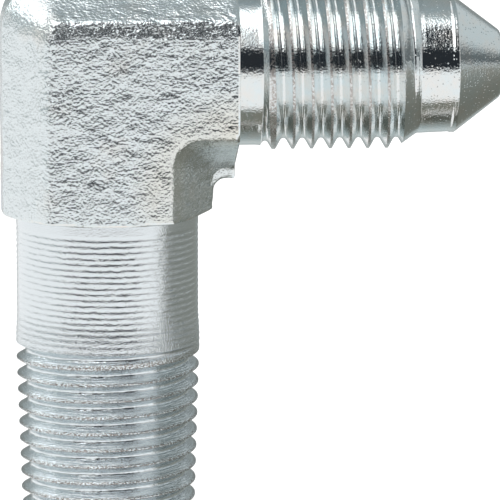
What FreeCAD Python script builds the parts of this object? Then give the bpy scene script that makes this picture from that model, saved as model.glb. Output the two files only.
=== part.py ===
"""A long male elbow adapter of zinc plated steel, forged in one piece.

The forged blank is an L with two wrench flats, draft on every side and a parting line half way through.
One leg is turned to a long shank with a tapered pipe thread, the other to a straight thread with a 37
degree flare nose. Two drillings meet where the axes of the legs cross, and that crossing is the origin.
The flare leg runs along +X, the pipe leg hangs along -Z and the parting line lies in the XZ plane.
The threads have their true pitch and flanks, as one ring for each turn.
"""

import FreeCAD, Part
import os
import re
import Sketcher

NODE = "elbow_adapter"

# Driving sizes in millimetres and degrees, each with what it measures
SIZES = [
    ("half_depth", 5.7, "parting line to a wrench flat"),
    ("pipe_half_width", 6.0, "pipe leg at the parting line"),
    ("pipe_flat_half_width", 3.5, "pipe leg at the edges of a wrench flat"),
    ("flare_half_width", 5.9, "flare leg at the parting line"),
    ("flare_flat_half_width", 3.35, "flare leg at the lower edge of a wrench flat"),
    ("flare_flat_top", 3.15, "flare leg at the upper edge of a wrench flat"),
    ("side_depth", 1.8, "parting line to where the steep outer sides end"),
    ("side_draft", 4.0, "steep outer side of the pipe leg to the parting direction"),
    ("top_fall", 0.6, "fall of the flare leg's outer side over the side depth"),
    ("heel_radius", 3.7, "outer corner at the parting line"),
    ("heel_flat_radius", 0.8, "outer corner at a wrench flat"),
    ("crotch_radius", 0.8, "inner corner at the parting line"),
    ("crotch_flat_radius", 1.5, "inner corner at a wrench flat"),
    ("round_depth", 0.5, "rounding of a wrench flat's edges across the flat"),
    ("top_round", 0.6, "the same along the flat, upper edge"),
    ("heel_round", 0.3, "the same, outer edge of the pipe leg"),
    ("crotch_round", 0.08, "the same, edges towards the crotch"),
    ("flash_width", 0.5, "trimmed flash, proud of the flare leg"),
    ("flash_thickness", 0.8, "flash across the parting line"),
    ("flash_radius", 0.6, "inner corner of the flash"),
    ("machining_allowance", 1.0, "blank and cutters beyond the finished form"),
    ("pipe_shoulder_drop", 8.2, "crossing to the shoulder above the shank"),
    ("pipe_shoulder_radius", 5.5, "flat part of that shoulder"),
    ("pipe_shoulder_angle", 10.0, "fall of the rest of it"),
    ("shank_diameter", 10.27, "plain shank, the size of the pipe"),
    ("shank_length", 7.2, "shoulder to the pipe thread"),
    ("pipe_thread_length", 10.4, "shank to the end face"),
    ("pipe_thread_diameter", 9.76, "crests at the end face"),
    ("pipe_thread_pitch", 0.9407, "27 threads to the inch"),
    ("pipe_thread_taper", 0.0625, "one in sixteen on the diameter"),
    ("pipe_thread_land", 0.35, "full ring between the shank and the first groove"),
    ("pipe_crest_width", 0.12, "flat on the crests"),
    ("pipe_thread_lead", 0.6, "chamfer at the end face"),
    ("pipe_bore_diameter", 4.8, "drilling up the pipe leg"),
    ("flare_shoulder_reach", 7.2, "crossing to the shoulder behind the neck"),
    ("flare_shoulder_radius", 6.3, "flat part of that shoulder"),
    ("flare_shoulder_angle", 30.0, "chamfer round it"),
    ("neck_diameter", 8.9, "plain neck behind the straight thread"),
    ("neck_length", 1.67, "shoulder to the first thread groove"),
    ("flare_thread_length", 8.63, "first thread groove to the plain nose"),
    ("flare_thread_diameter", 9.4, "crests of the straight thread"),
    ("flare_thread_pitch", 1.0583, "24 threads to the inch"),
    ("flare_crest_width", 0.13, "flat on the crests"),
    ("flare_thread_lead", 1.3, "chamfer along the axis"),
    ("nose_diameter", 7.75, "plain nose in front of the thread"),
    ("nose_length", 1.95, "plain nose up to the cone"),
    ("cone_length", 2.7, "sealing cone along the axis"),
    ("cone_angle", 37.0, "sealing cone to the axis"),
    ("flare_bore_diameter", 3.1, "drilling along the flare leg"),
    ("drill_point_angle", 118.0, "point of the larger drill"),
    ("thread_angle", 60.0, "between the flanks of both threads"),
    ("thread_depth", 0.53, "crests to the flat root of a groove, both threads"),
    ("thread_overcut", 0.05, "cut of each groove past the crests"),
]

ALIASES = {alias for alias, value, note in SIZES}

doc = FreeCAD.newDocument(NODE)
sheet = doc.addObject("Spreadsheet::Sheet", "Sizes")
for row, (alias, value, note) in enumerate(SIZES, start=1):
    sheet.set(f"A{row}", note)
    sheet.set(f"B{row}", str(value))
    sheet.setAlias(f"B{row}", alias)
doc.recompute()

body = doc.addObject("PartDesign::Body", NODE)
body.Label = NODE
PARTING_PLANE = {plane.Role: plane for plane in body.Origin.OriginFeatures}["XZ_Plane"]

# Stations along the legs, from the crossing of the axes
PIPE_THREAD_START = "(pipe_shoulder_drop + shank_length)"
PIPE_END = f"({PIPE_THREAD_START} + pipe_thread_length)"
NECK_END = "(flare_shoulder_reach + neck_length)"
NOSE_START = f"({NECK_END} + flare_thread_length)"
CONE_START = f"({NOSE_START} + nose_length)"
FLARE_END = f"({CONE_START} + cone_length)"


def bound(words):
    """The expression in which the name of each driving size points at its cell."""
    return re.sub(r"[a-z_]+", lambda word: f"Sizes.{word[0]}" if word[0] in ALIASES else word[0], words)


def measure(words):
    """The value of an expression of driving sizes."""
    return float(sheet.evalExpression(bound(words)))


def drive(sketch, kind, where, words):
    """Adds a dimension to a sketch and ties it to the driving sizes."""
    index = sketch.addConstraint(Sketcher.Constraint(kind, *where, measure(words)))
    name = f"{kind}{index}"
    sketch.renameConstraint(index, name)
    sketch.setExpression(f"Constraints.{name}", bound(words))


def outline(name, *loops, depth="0"):
    """A sketch of closed loops of straight lines, parallel to the parting plane.

    Its x runs along +X and its y runs up. A corner is two driven places, with a radius if it is rounded.
    """
    sketch = body.newObject("Sketcher::SketchObject", name)
    sketch.AttachmentSupport = (PARTING_PLANE, [""])
    sketch.MapMode = "FlatFace"
    sketch.setExpression("AttachmentOffset.Base.z", bound(depth))
    for corners in loops:
        points = [FreeCAD.Vector(measure(corner[0]), measure(corner[1]), 0) for corner in corners]
        following = points[1:] + points[:1]
        lines = [sketch.addGeometry(Part.LineSegment(start, end)) for start, end in zip(points, following)]
        for index, line in enumerate(lines):
            sketch.addConstraint(Sketcher.Constraint("Coincident", lines[index - 1], 2, line, 1))
        for line, (x, z, *rounding) in zip(lines, corners):
            place = (line, 1)
            if rounding:
                arc = sketch.GeometryCount
                sketch.fillet(line, 1, measure(*rounding), True, True)
                drive(sketch, "Radius", (arc,), *rounding)
                place = (arc + 1, 1)
            for kind, words, axis in (("DistanceX", x, -2), ("DistanceY", z, -1)):
                if words == "0":
                    sketch.addConstraint(Sketcher.Constraint("PointOnObject", *place, axis))
                else:
                    drive(sketch, kind, (-1, 1, *place), words)
    doc.recompute()
    return sketch


def turned(name, axis, *loops):
    """Removes what closed loops sweep round the axis of a leg."""
    before = body.Shape.Volume
    profile = outline(f"{name}_profile", *loops)
    groove = body.newObject("PartDesign::Groove", name)
    groove.Profile = profile
    groove.ReferenceAxis = (profile, [axis])
    groove.Angle = 360
    doc.recompute()
    if not body.Shape.Volume < before:
        raise RuntimeError(f"{name} removes nothing")


def leg_outline(name, depth, left, right, top, under, heel, crotch):
    """The L of the blank at one depth, each leg longer than it is when finished."""
    foot = f"-({PIPE_END} + machining_allowance)"
    reach = f"{FLARE_END} + machining_allowance"
    corners = [
        (f"-{left}", top, heel),
        (f"-{left}", foot),
        (right, foot),
        (right, f"-{under}", crotch),
        (reach, f"-{under}"),
        (reach, top),
    ]
    return outline(name, corners, depth=depth)


# Forged blank: half widths to the left, right, top and bottom, and the corner radii, at each depth
parting_sizes = [
    "pipe_half_width", "pipe_half_width", "flare_half_width", "flare_half_width", "heel_radius", "crotch_radius",
]
sharp_sizes = [
    "pipe_flat_half_width", "pipe_flat_half_width", "flare_flat_top", "flare_flat_half_width",
    "heel_flat_radius", "crotch_flat_radius",
]
rounds = ["heel_round", "crotch_round", "top_round", "crotch_round", "0", "0"]
side_sizes = [
    f"({parting} + side_depth / half_depth * ({sharp} - {parting}))"
    for parting, sharp in zip(parting_sizes, sharp_sizes)
]
side_sizes[0] = "(pipe_half_width - side_depth * tan(side_draft))"
side_sizes[2] = "(flare_half_width - top_fall)"
flat_sizes = [f"({sharp} - {rounding})" for sharp, rounding in zip(sharp_sizes, rounds)]
edge_sizes = [
    f"({sharp} + round_depth / (half_depth - side_depth) * ({side} - {sharp}))"
    for sharp, side in zip(sharp_sizes, side_sizes)
]
round_sizes = [
    f"({flat} / 4 + {sharp} / 2 + {edge} / 4)"
    for flat, sharp, edge in zip(flat_sizes, sharp_sizes, edge_sizes)
]
layers = [
    ("flat", "half_depth", flat_sizes),
    ("round", "(half_depth - round_depth / 4)", round_sizes),
    ("edge", "(half_depth - round_depth)", edge_sizes),
    ("sides", "side_depth", side_sizes),
]
front = [leg_outline(f"front_{name}", depth, *sizes) for name, depth, sizes in layers]
parting_line = leg_outline("parting_line", "0", *parting_sizes)
back = [leg_outline(f"back_{name}", f"-{depth}", *sizes) for name, depth, sizes in reversed(layers)]
blank = body.newObject("PartDesign::AdditiveLoft", "forged_blank")
blank.Profile = front[0]
blank.Sections = [*front[1:], parting_line, *back]
blank.Ruled = True
doc.recompute()

# Flash: the thin web that the trimming die leaves in the crotch, along the parting line
flash_drop = "(flare_half_width + flash_width)"
flash_low = f"({flash_drop} + 2 * flash_radius)"
flash_end = "flare_shoulder_reach + machining_allowance"
flash_corners = [
    ("0", "0"),
    ("0", f"-{flash_low}"),
    ("pipe_half_width", f"-{flash_low}"),
    ("pipe_half_width", f"-{flash_drop}", "flash_radius"),
    (flash_end, f"-{flash_drop}"),
    (flash_end, "0"),
]
flash_outline = outline("flash_outline", flash_corners)
flash = body.newObject("PartDesign::Pad", "flash")
flash.Profile = flash_outline
flash.SideType = "Symmetric"
flash.setExpression("Length", bound("flash_thickness"))
doc.recompute()

# Pipe leg, turned: shoulder, shank, and the cone that carries the thread, with its lead
corner_radius = "sqrt(half_depth ^ 2 + pipe_flat_half_width ^ 2)"
cutter_radius = f"({corner_radius} + machining_allowance)"
pipe_chamfer = f"(({cutter_radius} - pipe_shoulder_radius) * tan(pipe_shoulder_angle))"
crest_radius = "(pipe_thread_diameter / 2 + {back} * pipe_thread_taper / 2)"
turned(
    "pipe_turning",
    "V_Axis",
    [
        (cutter_radius, f"-(pipe_shoulder_drop - {pipe_chamfer})"),
        ("pipe_shoulder_radius", "-pipe_shoulder_drop"),
        ("shank_diameter / 2", "-pipe_shoulder_drop"),
        ("shank_diameter / 2", f"-{PIPE_THREAD_START}"),
        (crest_radius.format(back="pipe_thread_length"), f"-{PIPE_THREAD_START}"),
        (crest_radius.format(back="pipe_thread_lead"), f"-({PIPE_END} - pipe_thread_lead)"),
        ("pipe_thread_diameter / 2 - pipe_thread_lead", f"-{PIPE_END}"),
        ("0", f"-{PIPE_END}"),
        ("0", f"-({PIPE_END} + 2 * machining_allowance)"),
        (cutter_radius, f"-({PIPE_END} + 2 * machining_allowance)"),
    ],
)

# Flare leg, turned: shoulder, neck, thread with its lead, plain nose and sealing cone
flare_chamfer = f"(({cutter_radius} - flare_shoulder_radius) * tan(flare_shoulder_angle))"
tip_radius = "nose_diameter / 2 - cone_length * tan(cone_angle)"
turned(
    "flare_turning",
    "H_Axis",
    [
        (f"flare_shoulder_reach - {flare_chamfer}", cutter_radius),
        ("flare_shoulder_reach", "flare_shoulder_radius"),
        ("flare_shoulder_reach", "neck_diameter / 2"),
        (NECK_END, "neck_diameter / 2"),
        (NECK_END, "flare_thread_diameter / 2"),
        (f"{NOSE_START} - flare_thread_lead", "flare_thread_diameter / 2"),
        (NOSE_START, "nose_diameter / 2"),
        (CONE_START, "nose_diameter / 2"),
        (FLARE_END, tip_radius),
        (FLARE_END, "0"),
        (f"{FLARE_END} + 2 * machining_allowance", "0"),
        (f"{FLARE_END} + 2 * machining_allowance", cutter_radius),
    ],
)


def groove(station, crest, pitch, crest_width):
    """The trapezium that one turn of a thread cuts at a station along its leg, down from the crests."""
    mouth = f"({pitch} - {crest_width}) / 2"
    root = f"({mouth} - thread_depth * tan(thread_angle / 2))"
    outer = f"({mouth} + thread_overcut * tan(thread_angle / 2))"
    return [
        (f"{station} - {root}", f"{crest} - thread_depth"),
        (f"{station} + {root}", f"{crest} - thread_depth"),
        (f"{station} + {outer}", f"{crest} + thread_overcut"),
        (f"{station} - {outer}", f"{crest} + thread_overcut"),
    ]


# Pipe thread: grooves down the cone, after one full ring
thread_room = "(pipe_thread_length - pipe_thread_land)"
pipe_grooves = []
for turn in range(int(measure(f"{thread_room} / pipe_thread_pitch"))):
    back = f"({thread_room} - {turn + 0.5} * pipe_thread_pitch)"
    crest = crest_radius.format(back=back)
    corners = groove(f"({PIPE_END} - {back})", crest, "pipe_thread_pitch", "pipe_crest_width")
    pipe_grooves.append([(radius, f"-({station})") for station, radius in corners])
turned("pipe_thread", "V_Axis", *pipe_grooves)

# Straight thread: the first groove ends the neck, and the last runs out over the plain nose
flare_grooves = []
for turn in range(int(measure("flare_thread_length / flare_thread_pitch"))):
    station = f"({NECK_END} + {turn} * flare_thread_pitch)"
    corners = groove(station, "flare_thread_diameter / 2", "flare_thread_pitch", "flare_crest_width")
    flare_grooves.append(corners)
turned("flare_thread", "H_Axis", *flare_grooves)

# Flow passage: the larger drill goes up past the crossing, and the smaller one runs into it
drill_point = "pipe_bore_diameter / 2 / tan(drill_point_angle / 2)"
turned(
    "pipe_bore",
    "V_Axis",
    [
        ("0", f"-({PIPE_END} + machining_allowance)"),
        ("pipe_bore_diameter / 2", f"-({PIPE_END} + machining_allowance)"),
        ("pipe_bore_diameter / 2", "flare_bore_diameter / 2"),
        ("0", f"flare_bore_diameter / 2 + {drill_point}"),
    ],
)
turned(
    "flare_bore",
    "H_Axis",
    [
        ("0", "0"),
        ("0", "flare_bore_diameter / 2"),
        (f"{FLARE_END} + machining_allowance", "flare_bore_diameter / 2"),
        (f"{FLARE_END} + machining_allowance", "0"),
    ],
)

for item in doc.Objects:
    if "Invalid" in item.State or "Error" in item.State:
        raise RuntimeError(f"{item.Name} failed: {item.State}")
shape = body.Shape
if shape.isNull() or not shape.isValid() or len(shape.Solids) != 1:
    raise RuntimeError(f"{NODE} is not one valid solid")

os.makedirs("parts", exist_ok=True)
shape.exportStep(f"parts/{NODE}.step")
box = shape.optimalBoundingBox(True, False)
print(f"{NODE}: {box.XLength:.2f} x {box.YLength:.2f} x {box.ZLength:.2f} mm, {shape.Volume:.1f} mm3")
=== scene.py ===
import math
import bpy
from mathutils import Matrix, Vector


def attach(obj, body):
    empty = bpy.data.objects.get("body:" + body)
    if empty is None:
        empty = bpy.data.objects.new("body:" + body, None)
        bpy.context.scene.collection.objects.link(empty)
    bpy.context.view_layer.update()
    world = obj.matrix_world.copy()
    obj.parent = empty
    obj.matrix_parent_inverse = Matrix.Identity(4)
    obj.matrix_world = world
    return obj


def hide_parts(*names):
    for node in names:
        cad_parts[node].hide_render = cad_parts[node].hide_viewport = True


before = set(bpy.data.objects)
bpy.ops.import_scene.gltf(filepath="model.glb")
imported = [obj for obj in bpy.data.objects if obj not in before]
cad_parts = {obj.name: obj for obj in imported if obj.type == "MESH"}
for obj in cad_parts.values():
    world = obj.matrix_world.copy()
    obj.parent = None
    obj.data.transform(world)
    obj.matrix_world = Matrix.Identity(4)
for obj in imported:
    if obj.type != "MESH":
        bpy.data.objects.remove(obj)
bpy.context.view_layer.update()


# Flare end
#
# The end that takes the flared tube: a plain neck, a 3/8 inch thread with 24 turns to the inch, a plain
# nose and the 37 degree sealing cone. It is turned from the forging's own steel in one set-up with its
# drilling, threaded with a single point and zinc plated, so it is the smoothest and brightest part.

MM = 0.001
STEPS = 128
WELD = 0.002 * MM
SUPPORT_REACH = 0.03
LONG_SIDE = 0.1


def draw_profile(name, points):
    """A closed outline in the XZ plane, drawn point by point: radius along X, distance along Z, in mm."""
    bpy.ops.object.select_all(action="DESELECT")
    bpy.ops.mesh.primitive_plane_add(size=MM, location=(0, 0, 0))
    outline = bpy.context.object
    outline.name = name
    bpy.ops.object.mode_set(mode="EDIT")
    bpy.ops.mesh.select_all(action="SELECT")
    bpy.ops.mesh.merge(type="CENTER")
    here = Vector((0, 0, 0))
    for radius, height in points + points[:1]:
        there = Vector((radius, 0, height)) * MM
        if here.length == 0:
            bpy.ops.transform.translate(value=there)
        else:
            bpy.ops.mesh.extrude_region_move(TRANSFORM_OT_translate={"value": there - here})
        here = there
    bpy.ops.mesh.select_all(action="SELECT")
    bpy.ops.mesh.remove_doubles(threshold=WELD)
    bpy.ops.object.mode_set(mode="OBJECT")
    return outline


def with_supports(points):
    """The outline with a point near both ends of each long side, so that flat sides shade flat."""
    supported = []
    for (r0, z0), (r1, z1) in zip(points, points[1:] + points[:1]):
        length = math.hypot(r1 - r0, z1 - z0)
        supported.append((r0, z0))
        if length > LONG_SIDE:
            share = SUPPORT_REACH / length
            supported.append((r0 + share * (r1 - r0), z0 + share * (z1 - z0)))
            supported.append((r1 - share * (r1 - r0), z1 - share * (z1 - z0)))
    return supported


def turn_on_lathe(piece):
    """Spins a closed outline all the way round Z into a ring-shaped solid."""
    bpy.ops.object.select_all(action="DESELECT")
    bpy.context.view_layer.objects.active = piece
    piece.select_set(True)
    bpy.ops.object.mode_set(mode="EDIT")
    bpy.ops.mesh.select_all(action="SELECT")
    bpy.ops.mesh.spin(steps=STEPS, angle=2 * math.pi, center=(0, 0, 0), axis=(0, 0, 1))
    bpy.ops.mesh.select_all(action="SELECT")
    bpy.ops.mesh.remove_doubles(threshold=WELD)
    bpy.ops.mesh.normals_make_consistent(inside=False)
    bpy.ops.object.mode_set(mode="OBJECT")
    return piece


def wind_cutter(cutter, pitch, turns, start_turn):
    """Winds a closed groove outline into a right-hand helix round Z, which starts start_turn after +X.

    Returns how many vertices a ring has. The rings stay in order, one for each step.
    """
    corners = len(cutter.data.vertices)
    winding = cutter.modifiers.new("winding", "SCREW")
    winding.axis = "Z"
    winding.angle = 2 * math.pi * turns
    winding.screw_offset = pitch * turns * MM
    winding.steps = round(STEPS * turns)
    winding.render_steps = winding.steps
    winding.use_merge_vertices = False
    bpy.ops.object.select_all(action="DESELECT")
    bpy.context.view_layer.objects.active = cutter
    cutter.select_set(True)
    bpy.ops.object.modifier_apply(modifier="winding")
    cutter.rotation_euler = (0, 0, 2 * math.pi * start_turn)
    bpy.ops.object.transform_apply(location=False, rotation=True, scale=False)
    return corners


def close_cutter(cutter):
    """Caps the ends of a wound groove, so that it is a solid to cut with."""
    bpy.context.view_layer.objects.active = cutter
    bpy.ops.object.mode_set(mode="EDIT")
    bpy.ops.mesh.select_all(action="SELECT")
    bpy.ops.mesh.fill_holes(sides=0)
    bpy.ops.mesh.normals_make_consistent(inside=False)
    bpy.ops.object.mode_set(mode="OBJECT")


def combine(piece, other, how):
    """Cuts the other solid out of the piece, or adds it to the piece, and deletes the other."""
    step = piece.modifiers.new(how, "BOOLEAN")
    step.operation = how
    step.solver = "EXACT"
    step.object = other
    bpy.ops.object.select_all(action="DESELECT")
    bpy.context.view_layer.objects.active = piece
    piece.select_set(True)
    bpy.ops.object.modifier_apply(modifier=how)
    bpy.data.objects.remove(other)


def smooth_step(share):
    """0 below 0, 1 above 1, and an even bend between."""
    share = min(1, max(0, share))
    return share * share * (3 - 2 * share)


# Radius and distance from the crossing of the axes: neck, thread, nose, cone with its rounded mouth, bore
flare_profile = [
    (4.45, 6.9), (4.45, 8.3), (4.47, 8.55), (4.70, 8.85),
    (4.70, 16.2), (3.95, 17.28),
    (3.872, 17.42), (3.872, 17.70), (3.866, 17.76), (3.812, 19.18), (3.852, 19.30), (3.838, 19.40),
    (3.852, 19.48), (3.83, 19.54),
    (1.98, 21.99), (1.90, 22.08), (1.80, 22.13), (1.70, 22.15), (1.62, 22.13),
    (1.55, 22.05), (1.55, 7.25), (1.65, 7.15), (1.65, 6.9),
]
flare_end = turn_on_lathe(draw_profile("flare_end", with_supports(flare_profile)))

# The single-point tool leaves a 60 degree groove with a round root and lets a narrow crest stand
ROOT_ROUND = 0.20
FLANK_SLOPE = math.tan(math.radians(30))


def round_root(root, mouth):
    """The outline of a 60 degree groove: its round root, then up the flanks to the radius of its mouth."""
    arc = [math.radians(degree) for degree in (-60, -36, -12, 12, 36, 60)]
    points = [(root + ROOT_ROUND * (1 - math.cos(a)), ROOT_ROUND * math.sin(a)) for a in arc]
    half = points[-1][1] + (mouth - points[-1][0]) * FLANK_SLOPE
    return points + [(mouth, half), (mouth, -half)]


# The tool starts a third of a turn before +X and feeds in over nearly half a turn
FLARE_PITCH = 25.4 / 24
FLARE_TURNS = 9.5
FLARE_START_TURN = -0.35
FIRST_FLARE_GROOVE = 8.87
FEED_IN_TURN = 0.45
FEED_IN_LIFT = 0.70

start = FIRST_FLARE_GROOVE + FLARE_START_TURN * FLARE_PITCH
flare_groove = round_root(root=4.09, mouth=4.80)
flare_cutter = draw_profile("flare_cutter", [(r, z + start) for r, z in flare_groove])
corners = wind_cutter(flare_cutter, FLARE_PITCH, FLARE_TURNS, FLARE_START_TURN)
for vertex in flare_cutter.data.vertices:
    turn = (vertex.index // corners) / STEPS
    lift = FEED_IN_LIFT * (1 - smooth_step(turn / FEED_IN_TURN))
    radial = Vector((vertex.co.x, vertex.co.y, 0)).normalized()
    vertex.co += radial * lift * MM
close_cutter(flare_cutter)
combine(flare_end, flare_cutter, "DIFFERENCE")

flare_end.rotation_euler = (0, math.pi / 2, 0)
bpy.ops.object.transform_apply(location=False, rotation=True, scale=False)


# Pipe end
#
# The long leg, of the same steel: a plain shank turned to the size of the pipe with a coarse feed, then
# the tapered 1/8 inch pipe thread with 27 turns to the inch. Both still show the tool's path.

PIPE_END = -25.8
PIPE_TAPER = 1 / 32
END_CREST = 4.88
SHANK_RADIUS = 5.135
RISE_START = -13.8
RISE_LENGTH = 1.9
FIRST_MARK = -8.815
MARKS = 21
FEED = 0.335
TOOL_NOSE = 0.55


def crest_at(height):
    """Radius over the crests of the tapered thread, at a height in mm."""
    return END_CREST + (height - PIPE_END) * PIPE_TAPER


def blank_radius(height):
    """Radius before threading: the shank, then a short rise to the cone of the thread."""
    rise = smooth_step((RISE_START - height) / RISE_LENGTH)
    return SHANK_RADIUS + rise * (crest_at(height) - SHANK_RADIUS)


# The tool has a round nose, so each turn of the feed leaves a shallow hollow between two low ridges
pipe_profile = [(SHANK_RADIUS, -7.9), (SHANK_RADIUS, -8.77)]
for mark in range(MARKS):
    for share in (0.0, 0.24, 0.5, 0.76):
        height = FIRST_MARK - mark * FEED - share * FEED
        hollow = (FEED / 2) ** 2 * (1 - (2 * share - 1) ** 2) / (2 * TOOL_NOSE)
        pipe_profile.append((blank_radius(height) - hollow, height))

# From there over the cone of the thread and its end, and back up the bore
pipe_profile += [
    (crest_at(-15.85), -15.85), (crest_at(-25.2), -25.2), (4.28, PIPE_END),
    (2.5, PIPE_END), (2.4, -25.7), (2.4, -8.25), (2.5, -8.25), (2.5, -7.9),
]
pipe_end = turn_on_lathe(draw_profile("pipe_end", pipe_profile))

# The groove winds up the cone of the thread from its end and fades out over most of its last turn
PIPE_PITCH = 25.4 / 27
RUN_OUT_TURNS = 1.20
PIPE_TURNS = 10.55 + RUN_OUT_TURNS
TOP_PIPE_GROOVE = -16.50
DRAW_OUT_TURN = 0.72
DRAW_OUT_LIFT = 0.78

start_turn = RUN_OUT_TURNS - PIPE_TURNS
start = TOP_PIPE_GROOVE + start_turn * PIPE_PITCH
pipe_groove = round_root(root=4.31, mouth=5.10)
pipe_cutter = draw_profile("pipe_cutter", [(r, z + start) for r, z in pipe_groove])
corners = wind_cutter(pipe_cutter, PIPE_PITCH, PIPE_TURNS, start_turn)
for vertex in pipe_cutter.data.vertices:
    left = PIPE_TURNS - (vertex.index // corners) / STEPS
    lift = (vertex.co.z / MM - PIPE_END) * PIPE_TAPER
    lift += DRAW_OUT_LIFT * (1 - smooth_step(left / DRAW_OUT_TURN))
    radial = Vector((vertex.co.x, vertex.co.y, 0)).normalized()
    vertex.co += radial * lift * MM
close_cutter(pipe_cutter)
combine(pipe_end, pipe_cutter, "DIFFERENCE")


# Forged body
#
# The elbow's steel body as it came from the closed dies: two wrench flats, draft on every side, the
# trimmed flash in the crotch and a skin that scale has pitted. Only its shoulders and bores are cut.

PIPE_SHOULDER = 8.2
PIPE_SHOULDER_RADIUS = 5.5
PIPE_CHAMFER_SLOPE = math.tan(math.radians(10))
PIPE_BORE_REACH = 2.6
DRILL_POINT = 3.2
FLARE_SHOULDER = 7.2
FLARE_SHOULDER_RADIUS = 6.3
FLARE_CHAMFER_SLOPE = math.tan(math.radians(30))
FLARE_BORE_REACH = 1.8
CLEARANCE = 0.02
CAD_WELD = 0.001 * MM
GRID = 0.14
SKIN_START = 0.06
SKIN_FADE = 0.2

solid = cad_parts["elbow_adapter"]
body = solid.copy()
body.data = solid.data.copy()
body.name = "elbow_adapter_metal"
body.parent = None
bpy.context.collection.objects.link(body)
bpy.ops.object.select_all(action="DESELECT")
bpy.context.view_layer.objects.active = body
body.select_set(True)
bpy.ops.object.mode_set(mode="EDIT")
bpy.ops.mesh.select_all(action="SELECT")
bpy.ops.mesh.remove_doubles(threshold=CAD_WELD)

# Both turned ends are cut off the solid, just clear of the shoulders
for shoulder, outward in ((PIPE_SHOULDER, Vector((0, 0, -1))), (FLARE_SHOULDER, Vector((1, 0, 0)))):
    bpy.ops.mesh.select_all(action="SELECT")
    bpy.ops.mesh.bisect(
        plane_co=outward * (shoulder + CLEARANCE) * MM, plane_no=outward,
        clear_outer=True, use_fill=True, threshold=0.0001 * MM,
    )
bpy.ops.mesh.select_all(action="SELECT")
bpy.ops.mesh.normals_make_consistent(inside=False)
bpy.ops.object.mode_set(mode="OBJECT")

grid = body.modifiers.new("grid", "REMESH")
grid.mode = "VOXEL"
grid.voxel_size = GRID * MM
bpy.ops.object.modifier_apply(modifier="grid")


def forged_share(place):
    """1 on the forged skin, 0 on the shoulders, their chamfers and the drillings, at a place in mm."""
    across_pipe = math.hypot(place.x, place.y)
    across_flare = math.hypot(place.y, place.z)
    if across_pipe < PIPE_BORE_REACH and place.z < DRILL_POINT:
        return 0
    if across_flare < FLARE_BORE_REACH and place.x > 0:
        return 0
    over_pipe_shoulder = place.z + PIPE_SHOULDER
    over_pipe_shoulder -= max(0, across_pipe - PIPE_SHOULDER_RADIUS) * PIPE_CHAMFER_SLOPE
    behind_flare_shoulder = FLARE_SHOULDER - place.x
    behind_flare_shoulder -= max(0, across_flare - FLARE_SHOULDER_RADIUS) * FLARE_CHAMFER_SLOPE
    return smooth_step((min(over_pipe_shoulder, behind_flare_shoulder) - SKIN_START) / SKIN_FADE)


forged = body.vertex_groups.new(name="forged")
for vertex in body.data.vertices:
    forged.add([vertex.index], forged_share(vertex.co / MM), "REPLACE")

die_radius = body.modifiers.new("die_radius", "SMOOTH")
die_radius.factor = 0.5
die_radius.iterations = 12
die_radius.vertex_group = "forged"
bpy.ops.object.modifier_apply(modifier="die_radius")

# The wrench flats fall away towards their upper edge, which turns over sharply into the sloping top
FLAT_DEPTH = 5.7
FALL_START = 2.45
FALL_SLOPE = 0.24
TURN_START = 3.17
TURN_SLOPE = 0.65
FALL_END = 3.55
EDGE_HEIGHT = 3.43
EDGE_DEPTH = 5.2
TOP_SLOPE = 1.82
LEAST_ACROSS = 4.9
HEEL = -3.6
HEEL_FADE = 0.9

for vertex in body.data.vertices:
    place = vertex.co / MM
    across = abs(place.y)
    if across > LEAST_ACROSS and FALL_START < place.z < FALL_END and place.x > HEEL:
        fall = FALL_SLOPE * (place.z - FALL_START) + TURN_SLOPE * max(0, place.z - TURN_START)
        fallen = min(FLAT_DEPTH - fall, EDGE_DEPTH - TOP_SLOPE * (place.z - EDGE_HEIGHT))
        share = smooth_step((place.x - HEEL) / HEEL_FADE) * forged_share(place)
        vertex.co.y = math.copysign(across + share * (fallen - across), place.y) * MM

for name, size, depth in (("swell", 1.6, 0.10), ("scale_pits", 0.45, 0.05)):
    pattern = bpy.data.textures.new(name, "CLOUDS")
    pattern.noise_scale = size * MM
    skin = body.modifiers.new(name, "DISPLACE")
    skin.texture = pattern
    skin.texture_coords = "LOCAL"
    skin.mid_level = 0.55
    skin.strength = depth * MM
    skin.vertex_group = "forged"
    bpy.ops.object.modifier_apply(modifier=name)


# Zinc finishes
#
# One bath of clear zinc covers the whole piece. It stays matt and sparkling on the forged skin, and
# bright on what was turned, where it still shows faint blue and straw tints of the passivation.

# A Mix node's colour sockets have the names of its other sockets, so they go by number
FIRST_COLOUR = 6
SECOND_COLOUR = 7
MIXED_COLOUR = 2


def colour(code):
    """A hex colour as Blender's linear values."""
    channels = [int(code[i:i + 2], 16) / 255 for i in (1, 3, 5)]
    return [c / 12.92 if c <= 0.04045 else ((c + 0.055) / 1.055) ** 2.4 for c in channels] + [1]


def add_node(tree, kind, inputs=None, **settings):
    """Adds a node with its settings. Each input is a value, a socket, or a node for its first output."""
    node = tree.nodes.new(kind)
    for key, value in settings.items():
        setattr(node, key, value)
    for key, value in (inputs or {}).items():
        if isinstance(value, bpy.types.Node):
            value = value.outputs[0]
        if isinstance(value, bpy.types.NodeSocket):
            tree.links.new(value, node.inputs[key])
        else:
            node.inputs[key].default_value = value
    return node


def new_material(name):
    """An empty node material and its tree."""
    material = bpy.data.materials.new(name)
    material.use_nodes = True
    material.node_tree.nodes.clear()
    return material, material.node_tree


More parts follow.
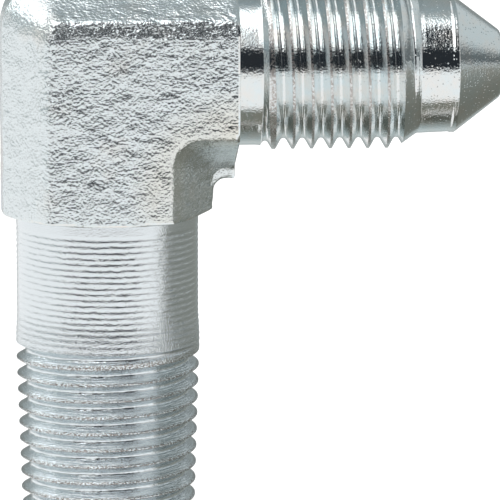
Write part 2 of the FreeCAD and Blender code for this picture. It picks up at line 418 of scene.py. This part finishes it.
# As-forged steel under zinc. Rolled-in scale has left wrinkles about 0.4 mm apart on the wrench flats,
# longer sideways, and a fine grain on the drafted sides. The wrinkles are deepest along the upper edge
# of the flats and in the crotch, and shallow on the strip of flat beside it, which has a faint straw
# stain. The thin bright plating follows them all, so that each slope mirrors another part of the room.
forged_zinc, tree = new_material("forged_zinc")
place = add_node(tree, "ShaderNodeTexCoord").outputs["Object"]
sides = add_node(tree, "ShaderNodeSeparateXYZ", {0: place}).outputs
patches = add_node(tree, "ShaderNodeTexNoise", {"Vector": place, "Scale": 0.3 / MM, "Detail": 2.0})
in_patches = add_node(
    tree, "ShaderNodeMapRange",
    {"Value": patches, "From Min": 0.38, "From Max": 0.5, "To Min": 0.5, "To Max": 1.0},
)

# How deep the wrinkles are at each height of the flat
FLAT_FOOT = -6.0
FLAT_HEAD = 4.0
up_flat = add_node(
    tree, "ShaderNodeMapRange",
    {"Value": sides["Z"], "From Min": FLAT_FOOT * MM, "From Max": FLAT_HEAD * MM},
)
by_height = add_node(tree, "ShaderNodeValToRGB", {0: up_flat})
stops = by_height.color_ramp.elements
stops[0].color = (0.62, 0.62, 0.62, 1)
for height, share in (
    (-0.5, 0.84), (1.0, 1.0), (2.3, 1.0), (2.6, 0.6), (2.9, 0.6), (3.1, 1.0), (3.3, 2.2),
):
    stops.new((height - FLAT_FOOT) / (FLAT_HEAD - FLAT_FOOT)).color = (share, share, share, 1)

# The crotch, and the strip of flat that runs round it
STRIP_CALM = 0.85
CROTCH_DEPTH = 2.0
depth = add_node(tree, "ShaderNodeMath", {0: sides["Y"]}, operation="ABSOLUTE")
on_flat = add_node(
    tree, "ShaderNodeMapRange",
    {"Value": depth, "From Min": 4.0 * MM, "From Max": 5.0 * MM, "To Min": 0.2, "To Max": 1.0},
)
off_crotch = add_node(
    tree, "ShaderNodeMapping",
    {"Vector": place, "Location": (-7.0 * MM, 0.0, 6.5 * MM), "Scale": (1.0, 0.0, 1.0)},
)
away = add_node(tree, "ShaderNodeVectorMath", {0: off_crotch}, operation="LENGTH").outputs["Value"]
by_crotch = add_node(
    tree, "ShaderNodeMapRange",
    {"Value": away, "From Min": 4.6 * MM, "From Max": 6.2 * MM, "To Min": 1.0, "To Max": 0.0},
)
strip = add_node(tree, "ShaderNodeMath", {0: by_crotch, 1: on_flat}, operation="MULTIPLY")
off_strip = add_node(
    tree, "ShaderNodeMath", {0: strip, 1: -STRIP_CALM, 2: 1.0}, operation="MULTIPLY_ADD"
)
in_crotch = add_node(tree, "ShaderNodeMath", {0: by_crotch, 1: CROTCH_DEPTH}, operation="MULTIPLY")
pitted = add_node(tree, "ShaderNodeMath", {0: on_flat, 1: in_crotch}, operation="MAXIMUM")

stretched = add_node(tree, "ShaderNodeMapping", {"Vector": place, "Scale": (0.7, 0.7, 1.0)})
wrinkles = add_node(
    tree, "ShaderNodeTexNoise",
    {"Vector": stretched, "Scale": 1.8 / MM, "Detail": 2.0, "Roughness": 0.55, "Distortion": 0.5},
)
skin_height = add_node(
    tree, "ShaderNodeMapRange", {"Value": wrinkles, "From Min": 0.34, "From Max": 0.56},
    interpolation_type="SMOOTHSTEP"
)
for share in (in_patches, by_height, off_strip, pitted):
    skin_height = add_node(tree, "ShaderNodeMath", {0: skin_height, 1: share}, operation="MULTIPLY")
wrinkle_bump = add_node(
    tree, "ShaderNodeBump", {"Height": skin_height, "Strength": 1.0, "Distance": 0.038 * MM}
)
grains = add_node(tree, "ShaderNodeTexNoise", {"Vector": place, "Scale": 6.5 / MM, "Detail": 1.0})
grain_bump = add_node(
    tree, "ShaderNodeBump",
    {"Height": grains, "Strength": 1.0, "Distance": 0.05 * MM, "Normal": wrinkle_bump},
)

tint = add_node(tree, "ShaderNodeValToRGB", {0: patches})
tint.color_ramp.elements[0].color = colour("#E4EBED")
tint.color_ramp.elements[0].position = 0.55
tint.color_ramp.elements[1].color = colour("#E9E7E2")
tint.color_ramp.elements[1].position = 0.85
stain = add_node(tree, "ShaderNodeMath", {0: strip, 1: patches}, operation="MULTIPLY")
stained = add_node(
    tree, "ShaderNodeMix", {0: stain, FIRST_COLOUR: tint, SECOND_COLOUR: colour("#E8E5DA")},
    data_type="RGBA"
).outputs[MIXED_COLOUR]
shader = add_node(
    tree, "ShaderNodeBsdfPrincipled",
    {"Base Color": stained, "Metallic": 1.0, "Roughness": 0.27, "Normal": grain_bump},
)
add_node(tree, "ShaderNodeOutputMaterial", {"Surface": shader})

# Turned steel under zinc: nearly a mirror. A faint grain breaks up the edges of what it mirrors, and
# specks, most of them on the nose and cone, sparkle. The crests of the thread, which the tool never
# smoothed, are dull and a little pink.
turned_zinc, tree = new_material("turned_zinc")
place = add_node(tree, "ShaderNodeTexCoord").outputs["Object"]
along = add_node(tree, "ShaderNodeSeparateXYZ", {0: place}).outputs["X"]
grain = add_node(
    tree, "ShaderNodeTexNoise", {"Vector": place, "Scale": 8.0 / MM, "Detail": 2.0, "Roughness": 0.6}
)
grain_bump = add_node(
    tree, "ShaderNodeBump", {"Height": grain, "Strength": 1.0, "Distance": 0.012 * MM}
)

cells = add_node(tree, "ShaderNodeTexVoronoi", {"Vector": place, "Scale": 6.5 / MM}).outputs
dimples = add_node(
    tree, "ShaderNodeMapRange", {"Value": cells["Distance"], "From Max": 0.32},
    interpolation_type="SMOOTHSTEP"
)
PLAIN_CELLS = 0.6
lot = add_node(tree, "ShaderNodeSeparateXYZ", {0: cells["Color"]}).outputs["X"]
left_plain = add_node(tree, "ShaderNodeMath", {0: lot, 1: PLAIN_CELLS}, operation="LESS_THAN")
specks = add_node(tree, "ShaderNodeMath", {0: dimples, 1: left_plain}, operation="MAXIMUM")
speckled = add_node(
    tree, "ShaderNodeMapRange",
    {"Value": along, "From Min": 10.0 * MM, "From Max": 20.0 * MM, "To Min": 0.25, "To Max": 1.0},
)
speck_bump = add_node(
    tree, "ShaderNodeBump",
    {"Height": specks, "Strength": speckled, "Distance": 0.02 * MM, "Normal": grain_bump},
)

flare_axis = add_node(tree, "ShaderNodeMapping", {"Vector": place, "Scale": (0.0, 1.0, 1.0)})
radius = add_node(tree, "ShaderNodeVectorMath", {0: flare_axis}, operation="LENGTH").outputs["Value"]
crest = add_node(
    tree, "ShaderNodeMapRange", {"Value": along, "From Min": 8.8 * MM, "From Max": 9.0 * MM}
)
at_crest = add_node(
    tree, "ShaderNodeMapRange", {"Value": radius, "From Min": 4.64 * MM, "From Max": 4.68 * MM}
)
flecks = add_node(
    tree, "ShaderNodeMapRange",
    {"Value": grain, "From Min": 0.42, "From Max": 0.56, "To Min": 0.2, "To Max": 1.0},
)
for share in (at_crest, flecks):
    crest = add_node(tree, "ShaderNodeMath", {0: crest, 1: share}, operation="MULTIPLY")
dullness = add_node(tree, "ShaderNodeMapRange", {"Value": crest, "To Min": 0.08, "To Max": 0.34})

haze = add_node(
    tree, "ShaderNodeTexNoise", {"Vector": place, "Scale": 0.7 / MM, "Detail": 4.0, "Roughness": 0.7}
)
tint = add_node(tree, "ShaderNodeValToRGB", {0: haze})
tint.color_ramp.elements[0].color = colour("#E2EAEC")
tint.color_ramp.elements[0].position = 0.4
tint.color_ramp.elements[1].color = colour("#E9E8E5")
tint.color_ramp.elements[1].position = 0.68
crest_tint = add_node(
    tree, "ShaderNodeMix", {0: crest, FIRST_COLOUR: tint, SECOND_COLOUR: colour("#BDB8B4")},
    data_type="RGBA"
).outputs[MIXED_COLOUR]
shader = add_node(
    tree, "ShaderNodeBsdfPrincipled",
    {"Base Color": crest_tint, "Metallic": 1.0, "Roughness": dullness, "Normal": speck_bump},
)
add_node(tree, "ShaderNodeOutputMaterial", {"Surface": shader})

# The same zinc on the long leg. The coarse feed has left a grain that is drawn out round the shank, the
# threading tool has torn fine streaks round the flanks, and bare flecks dull the crests.
feed_marked_zinc, tree = new_material("feed_marked_zinc")
place = add_node(tree, "ShaderNodeTexCoord").outputs["Object"]
sides = add_node(tree, "ShaderNodeSeparateXYZ", {0: place}).outputs
drawn_out = add_node(tree, "ShaderNodeMapping", {"Vector": place, "Scale": (0.4, 0.4, 1.0)})
chatter = add_node(tree, "ShaderNodeTexNoise", {"Vector": drawn_out, "Scale": 5.0 / MM, "Detail": 2.0})
below_shoulder = add_node(
    tree, "ShaderNodeMapRange",
    {"Value": sides["Z"], "From Min": -8.6 * MM, "From Max": -9.1 * MM, "To Min": 0.1, "To Max": 1.0},
)
chatter_bump = add_node(
    tree, "ShaderNodeBump", {"Height": chatter, "Strength": below_shoulder, "Distance": 0.024 * MM}
)

# The radius less what the taper adds to it, so that the crests of all turns have one radius
pipe_axis = add_node(tree, "ShaderNodeMapping", {"Vector": place, "Scale": (1.0, 1.0, 0.0)})
radius = add_node(tree, "ShaderNodeVectorMath", {0: pipe_axis}, operation="LENGTH").outputs["Value"]
taper = add_node(
    tree, "ShaderNodeMath", {0: sides["Z"], 1: PIPE_TAPER, 2: -PIPE_END * MM * PIPE_TAPER},
    operation="MULTIPLY_ADD"
)
untapered = add_node(tree, "ShaderNodeMath", {0: radius, 1: taper}, operation="SUBTRACT")
on_thread = add_node(
    tree, "ShaderNodeMapRange", {"Value": sides["Z"], "From Min": -15.5 * MM, "From Max": -16.2 * MM}
)

# Across a flank the streaks are far finer than round it
STREAK_FINENESS = 20.0
drawn_in = add_node(
    tree, "ShaderNodeMath", {0: untapered, 1: STREAK_FINENESS}, operation="MULTIPLY"
)
round_axis = add_node(tree, "ShaderNodeCombineXYZ", {"X": drawn_in, "Y": sides["X"], "Z": sides["Y"]})
tears = add_node(
    tree, "ShaderNodeTexNoise",
    {"Vector": round_axis, "Scale": 0.4 / MM, "Detail": 3.0, "Roughness": 0.6},
)
tear_bump = add_node(
    tree, "ShaderNodeBump",
    {"Height": tears, "Strength": on_thread, "Distance": 0.09 * MM, "Normal": chatter_bump},
)
at_crest = add_node(
    tree, "ShaderNodeMapRange",
    {"Value": untapered, "From Min": 4.70 * MM, "From Max": 4.86 * MM, "To Min": 0.3, "To Max": 1.0},
)
grain = add_node(tree, "ShaderNodeTexNoise", {"Vector": place, "Scale": 12.0 / MM, "Detail": 1.0})
grain_bump = add_node(
    tree, "ShaderNodeBump",
    {"Height": grain, "Strength": at_crest, "Distance": 0.04 * MM, "Normal": tear_bump},
)

bare = add_node(
    tree, "ShaderNodeMapRange", {"Value": untapered, "From Min": 4.68 * MM, "From Max": 4.80 * MM}
)
flecks = add_node(tree, "ShaderNodeMapRange", {"Value": grain, "From Min": 0.44, "From Max": 0.56})
for share in (on_thread, flecks):
    bare = add_node(tree, "ShaderNodeMath", {0: bare, 1: share}, operation="MULTIPLY")
tint = add_node(
    tree, "ShaderNodeMix",
    {0: on_thread, FIRST_COLOUR: colour("#E5EBEE"), SECOND_COLOUR: colour("#E6EDF0")},
    data_type="RGBA"
).outputs[MIXED_COLOUR]
tint = add_node(
    tree, "ShaderNodeMix", {0: bare, FIRST_COLOUR: tint, SECOND_COLOUR: colour("#A9A49F")},
    data_type="RGBA"
).outputs[MIXED_COLOUR]
dullness = add_node(tree, "ShaderNodeMapRange", {"Value": on_thread, "To Min": 0.22, "To Max": 0.10})
shader = add_node(
    tree, "ShaderNodeBsdfPrincipled",
    {"Base Color": tint, "Metallic": 1.0, "Roughness": dullness, "Normal": grain_bump},
)
add_node(tree, "ShaderNodeOutputMaterial", {"Surface": shader})

# Each finish goes on by its place in the list of slots, which is the same on all three pieces
FORGED_SLOT = 0
TURNED_SLOT = 1
FEED_MARKED_SLOT = 2
LEAST_FORGED = 0.3

for piece in (body, flare_end, pipe_end):
    piece.data.materials.clear()
    for finish in (forged_zinc, turned_zinc, feed_marked_zinc):
        piece.data.materials.append(finish)
for face in body.data.polygons:
    is_forged = forged_share(face.center / MM) > LEAST_FORGED
    face.material_index = FORGED_SLOT if is_forged else TURNED_SLOT
for face in flare_end.data.polygons:
    face.material_index = TURNED_SLOT
for face in pipe_end.data.polygons:
    face.material_index = FEED_MARKED_SLOT

combine(body, pipe_end, "UNION")
combine(body, flare_end, "UNION")
bpy.ops.object.shade_smooth_by_angle(angle=math.radians(35))

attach(body, "root")
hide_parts("elbow_adapter")


# Studio
#
# A white table just under the pipe end, a broad soft lamp overhead and one from the left behind. The
# metal mirrors a plain room: white low in front and overhead, dark behind the camera, grey straight
# below and at the back, and with pale and grey strips along both side walls.

FLOOR_GAP = 0.01

bpy.ops.object.select_all(action="DESELECT")
bpy.ops.mesh.primitive_plane_add(size=3.0, location=(0, 0, (PIPE_END - FLOOR_GAP) * MM))
floor = bpy.context.object
floor.name = "floor"

# A white laminate, pressed matt, so that nothing is mirrored in it. It glows a little to the camera,
# and in the metal the room's own floor takes its place.
table_white, tree = new_material("table_white")
rays = add_node(tree, "ShaderNodeLightPath").outputs
matt = add_node(tree, "ShaderNodeBsdfDiffuse", {"Color": colour("#B4B4B4")})
glow = add_node(tree, "ShaderNodeEmission", {"Color": colour("#FFFFFF"), "Strength": 0.72})
bright = add_node(tree, "ShaderNodeAddShader", {0: matt, 1: glow})
lit = add_node(tree, "ShaderNodeMixShader", {0: rays["Is Camera Ray"], 1: matt, 2: bright})
clear = add_node(tree, "ShaderNodeBsdfTransparent")
seen = add_node(tree, "ShaderNodeMixShader", {0: rays["Is Glossy Ray"], 1: lit, 2: clear})
add_node(tree, "ShaderNodeOutputMaterial", {"Surface": seen})
floor.data.materials.append(table_white)

world = bpy.data.worlds.new("white_room")
bpy.context.scene.world = world
world.use_nodes = True
tree = world.node_tree
tree.nodes.clear()
toward = add_node(tree, "ShaderNodeTexCoord").outputs["Generated"]
parts = add_node(tree, "ShaderNodeSeparateXYZ", {0: toward}).outputs
nearer = add_node(tree, "ShaderNodeMath", {0: parts["Y"], 1: -1.0}, operation="MULTIPLY")
DEGREES_PER_RADIAN = 180 / math.pi


def angle_to(upright):
    """An angle in degrees from straight in front of the piece, towards one of the room's axes."""
    angle = add_node(tree, "ShaderNodeMath", {0: upright, 1: nearer}, operation="ARCTAN2")
    return add_node(tree, "ShaderNodeMath", {0: angle, 1: DEGREES_PER_RADIAN}, operation="MULTIPLY")


def paint_strips(angle, most, stops):
    """The room's colours along an angle from -most to most, as pairs of degrees and a hex colour."""
    along = add_node(tree, "ShaderNodeMapRange", {"Value": angle, "From Min": -most, "From Max": most})
    strips = add_node(tree, "ShaderNodeValToRGB", {0: along})
    ends = strips.color_ramp.elements
    ends[0].color = colour(stops[0][1])
    ends[1].position = 1
    ends[1].color = colour(stops[-1][1])
    for degree, code in stops[1:-1]:
        ends.new((degree + most) / (2 * most)).color = colour(code)
    return strips.outputs[0]


def lay_over(under, layer, edges):
    """The room with a layer over it, between soft edges.

    Each edge is an angle or a part of the direction, where the layer is clear, and where it is full.
    """
    share = 1.0
    for angle, clear_at, full_at in edges:
        edge = add_node(
            tree, "ShaderNodeMapRange", {"Value": angle, "From Min": clear_at, "From Max": full_at},
            interpolation_type="SMOOTHSTEP"
        )
        share = add_node(tree, "ShaderNodeMath", {0: share, 1: edge}, operation="MULTIPLY")
    return add_node(
        tree, "ShaderNodeMix", {0: share, FIRST_COLOUR: under, SECOND_COLOUR: layer}, data_type="RGBA"
    ).outputs[MIXED_COLOUR]


# over goes from in front of the piece up over it, around goes from in front to the right, and height
# is the angle above level. Straight up, where around has no meaning, no side wall is laid.
over = angle_to(parts["Z"])
around = angle_to(parts["X"])
height = add_node(tree, "ShaderNodeMath", {0: parts["Z"]}, operation="ARCSINE")
height = add_node(tree, "ShaderNodeMath", {0: height, 1: DEGREES_PER_RADIAN}, operation="MULTIPLY")
below_top = (height, 72, 60)

ahead = paint_strips(over, 180, [
    (-180, "#848A89"), (-142, "#CCD4D4"), (-125, "#A4ACAB"), (-100, "#7E8078"), (-61, "#7E8078"),
    (-56, "#FFFFFF"), (-4, "#FFFFFF"), (-1.5, "#282C31"), (33, "#282C31"), (36, "#FFFFFF"),
    (98, "#FFFFFF"), (102, "#9CA8AC"), (114, "#8E999C"), (132, "#8A9496"), (180, "#848A89"),
])
dark_side = paint_strips(over, 180, [
    (-180, "#909695"), (-3, "#FFFFFF"), (-1.5, "#282C31"), (78, "#282C31"), (86, "#A4AEB0"),
    (180, "#909695"),
])
left_wall = paint_strips(height, 90, [
    (-90, "#FFFFFF"), (-3, "#FFFFFF"), (3, "#A2ABAC"), (28, "#A2ABAC"), (36, "#FFFFFF"), (90, "#FFFFFF"),
])
right_wall = paint_strips(height, 90, [
    (-90, "#565852"), (-40, "#74766F"), (-8, "#8B8E88"), (-2.5, "#8B8E88"), (-1.5, "#DCE0E0"),
    (0.5, "#DCE0E0"), (1.5, "#63696B"), (13, "#6E7577"), (22, "#CDD3D4"), (35, "#CDD3D4"),
    (48, "#A2ACAE"), (90, "#A2ACAE"),
])

# The dark wall reaches higher at the right, and a pale curtain hangs in front of it
CURTAIN_WHITE = 0.6
room = lay_over(ahead, dark_side, [(over, -3, -1), (parts["X"], 0.098, 0.12)])
curtain = add_node(
    tree, "ShaderNodeMix", {0: CURTAIN_WHITE, FIRST_COLOUR: room, SECOND_COLOUR: colour("#FFFFFF")},
    data_type="RGBA"
).outputs[MIXED_COLOUR]
room = lay_over(room, curtain, [(around, 32, 48), (around, 76, 68), below_top])
room = lay_over(room, left_wall, [(around, -52, -66), (around, -170, -160), below_top])
room = lay_over(room, right_wall, [(around, 67, 79), (around, 162, 150), below_top])

# Only what the metal mirrors, or would show through glass, is the room: the rest is plain white
rays = add_node(tree, "ShaderNodeLightPath").outputs
mirrored = add_node(
    tree, "ShaderNodeMath", {0: rays["Is Glossy Ray"], 1: rays["Is Transmission Ray"]},
    operation="ADD", use_clamp=True
)
in_mirror = add_node(tree, "ShaderNodeBackground", {"Color": room, "Strength": 1.0})
white = add_node(tree, "ShaderNodeBackground", {"Color": colour("#FFFFFF"), "Strength": 1.0})
shown = add_node(tree, "ShaderNodeMixShader", {0: mirrored, 1: white, 2: in_mirror})
add_node(tree, "ShaderNodeOutputWorld", {"Surface": shown})

for name, place, width, length, power in (
    ("overhead", (-0.10, -0.13, 0.32), 0.26, 0.44, 0.40),
    ("left_behind", (-0.29, 0.15, 0.23), 0.26, 0.26, 0.25),
):
    lamp = bpy.data.lights.new(name, "AREA")
    lamp.shape = "RECTANGLE"
    lamp.energy = power
    lamp.size = width
    lamp.size_y = length
    holder = bpy.data.objects.new(name, lamp)
    holder.location = place
    holder.rotation_euler = (-Vector(place)).to_track_quat("-Z", "Y").to_euler()
    bpy.context.collection.objects.link(holder)


# Camera
#
# A long lens a little above the piece and to its left, aimed between the two legs. Its picture is as
# wide as the photograph, which has 500 pixels at 17.68 to the millimetre.

AZIMUTH = math.radians(-3.7)
ELEVATION = math.radians(10.5)
AIM = Vector((8.07, 0, -10.54)) * MM
PICTURE_WIDTH = 500 / 17.68 * MM

lens = bpy.data.cameras.new("camera")
lens.sensor_width = 36
lens.lens = 360
lens.clip_start = 0.01
lens.clip_end = 10
back = Vector((
    math.sin(AZIMUTH) * math.cos(ELEVATION), -math.cos(AZIMUTH) * math.cos(ELEVATION), math.sin(ELEVATION)
))
camera = bpy.data.objects.new("camera", lens)
camera.location = AIM + back * (PICTURE_WIDTH * lens.lens / lens.sensor_width)
camera.rotation_mode = "QUATERNION"
camera.rotation_quaternion = (-back).to_track_quat("-Z", "Y")
bpy.context.collection.objects.link(camera)
bpy.context.scene.camera = camera
bpy.context.scene.view_settings.view_transform = "Standard"
